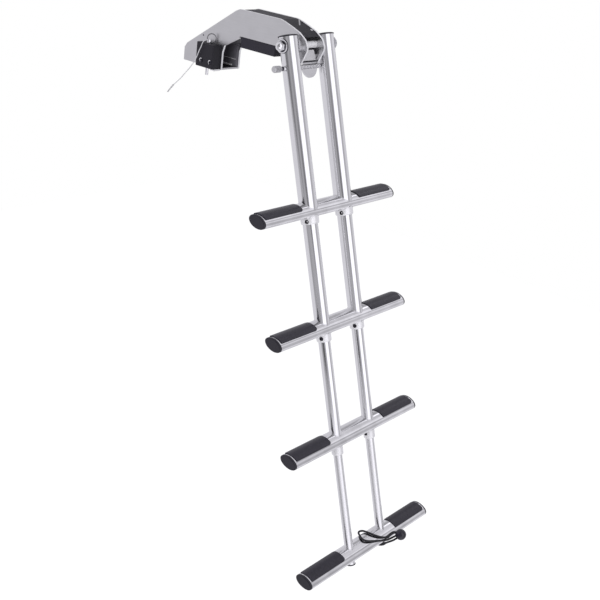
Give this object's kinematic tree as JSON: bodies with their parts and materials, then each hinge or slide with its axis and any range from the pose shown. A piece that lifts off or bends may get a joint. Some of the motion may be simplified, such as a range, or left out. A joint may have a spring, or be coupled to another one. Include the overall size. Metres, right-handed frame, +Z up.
{
  "type": "telescopic swim ladder",
  "caption": "Stainless telescopic swim ladder that hooks over a gunwale, with elliptical steps on two sliding rails and a pivoting bracket with a locking pin.",
  "frame": {"origin": "middle of the flat underside of the gunwale pad, where the bracket rests", "axes": "+X along the steps, +Y back over the gunwale into the boat, +Z up; the rails lean out 18 degrees at rest"},
  "size_m": [0.42, 0.7141, 1.1041],
  "materials": {
    "polished_steel": "mirror-polished stainless tube",
    "satin_steel": "satin stainless plate",
    "black_plastic": "moulded, slightly satin",
    "pad_rubber": "dull",
    "tread_pad": "fine grip texture",
    "wire": "coated steel wire",
    "shock_cord": "braided cover"
  },
  "bodies": {
    "bracket": {"side_plate_left": "satin_steel", "side_plate_right": "satin_steel", "arm_core": "black_plastic", "gunwale_pad": "pad_rubber", "leg_core": "black_plastic", "foot_web": "satin_steel", "stop_tongue": "satin_steel", "pin_block": "black_plastic", "block_screws": "polished_steel", "pivot_bolt": "polished_steel", "pivot_nut": "polished_steel", "pivot_washers": "polished_steel", "pivot_spacers": "satin_steel", "pivot_sleeve": "polished_steel", "hook_liners": "black_plastic"},
    "locking_pin": {"lock_pin": "polished_steel", "pin_ring": "polished_steel", "lanyard": "wire", "lanyard_crimp": "wire"},
    "section_1": {"rails_1": "polished_steel", "step_1": "polished_steel", "end_caps_1": "black_plastic", "tread_pads_1": "tread_pad", "bushes_1": "black_plastic", "rail_caps": "black_plastic", "stop_pin": "polished_steel", "stop_knob": "satin_steel", "stop_tab": "polished_steel"},
    "section_2": {"rails_2": "polished_steel", "step_2": "polished_steel", "end_caps_2": "black_plastic", "tread_pads_2": "tread_pad", "bushes_2": "black_plastic", "snap_buttons_2": "polished_steel"},
    "section_3": {"rails_3": "polished_steel", "step_3": "polished_steel", "end_caps_3": "black_plastic", "tread_pads_3": "tread_pad", "bushes_3": "black_plastic", "snap_buttons_3": "polished_steel"},
    "section_4": {"rails_4": "polished_steel", "step_4": "polished_steel", "end_caps_4": "black_plastic", "tread_pads_4": "tread_pad", "snap_buttons_4": "polished_steel", "tube_plugs": "black_plastic", "bungee_loop": "shock_cord", "bungee_anchor": "shock_cord", "bungee_ball": "black_plastic"}
  },
  "joints": [
    {"name": "ladder_hinge", "type": "hinge", "parent": "bracket", "child": "section_1", "pos_m": [0, -0.1115, 0.036], "axis": [-1, 0, 0], "range_deg": [0, 170]},
    {"name": "section_2_slide", "type": "slide", "parent": "section_1", "child": "section_2", "axis": [0, 0.309, 0.9511], "range_m": [0, 0.195]},
    {"name": "section_3_slide", "type": "slide", "parent": "section_2", "child": "section_3", "axis": [0, 0.309, 0.9511], "range_m": [0, 0.193]},
    {"name": "section_4_slide", "type": "slide", "parent": "section_3", "child": "section_4", "axis": [0, 0.309, 0.9511], "range_m": [0, 0.207]},
    {"name": "locking_pin_slide", "type": "slide", "parent": "bracket", "child": "locking_pin", "axis": [0, 0, 1], "range_m": [0, 0.072]}
  ]
}
